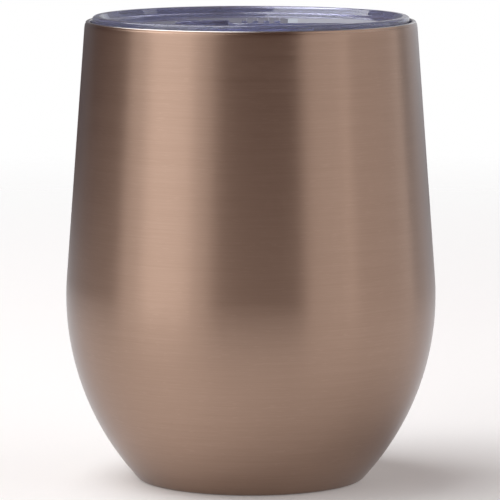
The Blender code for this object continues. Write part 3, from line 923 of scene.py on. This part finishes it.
def slider(material):
    """The sliding tab: softened plate, thumb ribs and a stem with a split snap head."""
    low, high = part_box("slider")
    seal_low, seal_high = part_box("slider_seal")
    underside = seal_low.z
    plate_top = underside + SLIDER_THICKNESS
    piece = plate(
        "slide_tab", (low.x, high.x), high.y - low.y, (underside, plate_top), SLIDER_CORNER,
        *SLIDER_ROUND, material,
    )
    additions = []
    for i in range(RIB_COUNT):
        middle = low.x + RIB_START + i * RIB_PITCH
        additions.append(plate(
            f"rib_{i}", (middle - RIB_HALF_WIDTH, middle + RIB_HALF_WIDTH), RIB_LENGTH,
            (plate_top - OVERLAP, plate_top + RIB_HEIGHT), RIB_CORNER, RIB_ROUND, HIDDEN_ROUND,
        ))
    half_stem = STEM_SIZE[0] / 2
    half_head = half_stem + HEAD_OVERHANG
    additions.append(plate(
        "stem", (STEM_X - half_stem, STEM_X + half_stem), STEM_SIZE[1],
        (low.z + HEAD_HEIGHT - OVERLAP, underside + OVERLAP), STEM_CORNER, HIDDEN_ROUND, HIDDEN_ROUND,
    ))
    additions.append(plate(
        "head", (STEM_X - half_head, STEM_X + half_head), STEM_SIZE[1],
        (low.z, low.z + HEAD_HEIGHT), STEM_CORNER, *HEAD_ROUND,
    ))
    split = plate(
        "split", (STEM_X - SPLIT_HALF_WIDTH, STEM_X + SPLIT_HALF_WIDTH), STEM_SIZE[1] + 2 * CUT_MARGIN,
        (low.z - CUT_MARGIN, low.z + SPLIT_HEIGHT), SPLIT_CORNER, SPLIT_ROUND, HIDDEN_ROUND,
    )
    pocket = plate(
        "pocket", (seal_low.x - SEAM_GAP, seal_high.x + SEAM_GAP),
        seal_high.y - seal_low.y + 2 * SEAM_GAP, (underside - CUT_MARGIN, seal_high.z + SEAM_GAP),
        SEAL_CORNER + SEAM_GAP, POCKET_ROUND, HIDDEN_ROUND,
    )
    shapes = [combine(piece, shape, "UNION") for shape in additions]
    shapes += [combine(piece, shape, "DIFFERENCE") for shape in (split, pocket)]
    place(finished(piece, shapes), "slider", "clear_plastic", "slider")


def slider_fittings(clear, rubber):
    """The seal pad under the slider, and the clip on its stem."""
    low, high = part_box("slider_seal")
    pad = plate(
        "seal_pad", (low.x, high.x), high.y - low.y, (low.z, high.z), SEAL_CORNER, *SEAL_ROUND, rubber
    )
    place(finished(pad), "slider", "silicone", "slider_seal")
    low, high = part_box("slider_retainer")
    clip = plate(
        "stem_clip", (low.x, high.x), high.y - low.y, (low.z, high.z), CLIP_CORNER, *CLIP_ROUND, clear
    )
    half_hole = STEM_SIZE[0] / 2 + SEAM_GAP
    hole = hole_cutter(
        "clip_hole", (STEM_X - half_hole, STEM_X + half_hole), STEM_SIZE[1] + 2 * SEAM_GAP,
        (low.z, high.z), STEM_CORNER, CLIP_HOLE_FLARE,
    )
    combine(clip, hole, "DIFFERENCE")
    place(finished(clip, [hole]), "slider", "clear_plastic", "slider_retainer")


# ---------------------------------------------------------------- the studio


def paper():
    """Plain white paper whose edge fades into the white behind it."""
    material, tree, shader = new_material(
        "floor_paper",
        Roughness=0.9,
        Specular_IOR_Level=0.0,
        Emission_Strength=PAPER_GLOW,
        Emission_Color=(1.0, 1.0, 1.0, 1.0),
    )
    fibre = noise(tree, (900, 900, 900), detail=2.0)
    paint(tree, shader, fibre, (0.86, 0.86, 0.86), (0.89, 0.89, 0.89))
    place_on_floor = add(tree, "ShaderNodeTexCoord").outputs["Object"]
    reach = add(tree, "ShaderNodeVectorMath", {"Vector": place_on_floor}, operation="LENGTH")
    fade = between(tree, reach.outputs["Value"], PAPER_FADE, (1.0, 0.0))
    tree.links.new(fade, shader.inputs["Alpha"])
    return material


def stage_floor():
    """A round sheet of paper just under the cup."""
    mesh = bpy.data.meshes.new("floor")
    body = bmesh.new()
    bmesh.ops.create_circle(body, cap_ends=True, radius=PAPER_FADE[1], segments=PAPER_SEGMENTS)
    body.to_mesh(mesh)
    body.free()
    floor = new_object("floor", mesh, paper())
    floor.location.z = -PAPER_DROP


def softbox(name, azimuth, elevation, width, height, glow, colour):
    """A rectangular light facing the cup. Azimuth 0 is the camera's side and 90 the cup's right.

    Width and height are angles in degrees as the cup sees them, and glow is the light's radiance.
    """
    data = bpy.data.lights.new(name, "AREA")
    data.shape = "RECTANGLE"
    data.size = 2 * STUDIO_RADIUS * math.tan(math.radians(width / 2))
    data.size_y = 2 * STUDIO_RADIUS * math.tan(math.radians(height / 2))
    data.energy = glow * math.pi * data.size * data.size_y
    data.color = colour
    light = bpy.data.objects.new(name, data)
    bpy.context.scene.collection.objects.link(light)
    turn = math.radians(azimuth)
    rise = math.radians(elevation)
    away = Vector((math.sin(turn) * math.cos(rise), -math.cos(turn) * math.cos(rise), math.sin(rise)))
    light.location = Vector((0.0, 0.0, AIM_HEIGHT)) + away * STUDIO_RADIUS
    light.rotation_mode = "QUATERNION"
    light.rotation_quaternion = away.to_track_quat("Z", "Y")
    light.visible_camera = False


def white_backdrop():
    """White for the camera, dim for everything else."""
    world = bpy.data.worlds.new("studio")
    bpy.context.scene.world = world
    world.use_nodes = True
    tree = world.node_tree
    tree.nodes.clear()
    seen = add(tree, "ShaderNodeLightPath").outputs["Is Camera Ray"]
    dim = add(tree, "ShaderNodeBackground", {"Color": (*ROOM, 1.0)})
    white = add(tree, "ShaderNodeBackground", {"Color": (1.0, 1.0, 1.0, 1.0)})
    mix = tree.nodes.new("ShaderNodeMixShader")
    for socket, value in zip(mix.inputs, (seen, dim.outputs[0], white.outputs[0])):
        tree.links.new(value, socket)
    add(tree, "ShaderNodeOutputWorld", {"Surface": mix.outputs[0]})


def studio():
    """The floor, the background and the lights."""
    stage_floor()
    white_backdrop()
    for box in SOFTBOXES:
        softbox(*box)


def camera():
    """A long lens a metre in front of the cup, looking a little down."""
    data = bpy.data.cameras.new("camera")
    data.lens = CAMERA_LENS
    data.sensor_width = CAMERA_SENSOR
    obj = bpy.data.objects.new("camera", data)
    bpy.context.scene.collection.objects.link(obj)
    obj.location = CAMERA_PLACE
    obj.rotation_euler = (math.pi / 2 - CAMERA_DIP, 0.0, 0.0)
    bpy.context.scene.camera = obj


def main():
    """Makes every piece, the studio and the camera."""
    coated = coated_steel()
    steel = bare_steel()
    clear = clear_plastic()
    rubber = silicone()
    outer_shell(coated)
    inner_liner(steel, coated)
    liner_bottom(steel)
    copper_layers(copper_foil())
    pressed_bottom(steel)
    tail_hole_bead(sealing_glass())
    cover_disc(spun_steel())
    getter(steel, getter_alloy())
    lid(clear)
    gasket(rubber)
    slider(clear)
    slider_fittings(clear, rubber)
    studio()
    camera()
    bpy.context.scene.view_settings.view_transform = "Standard"


main()
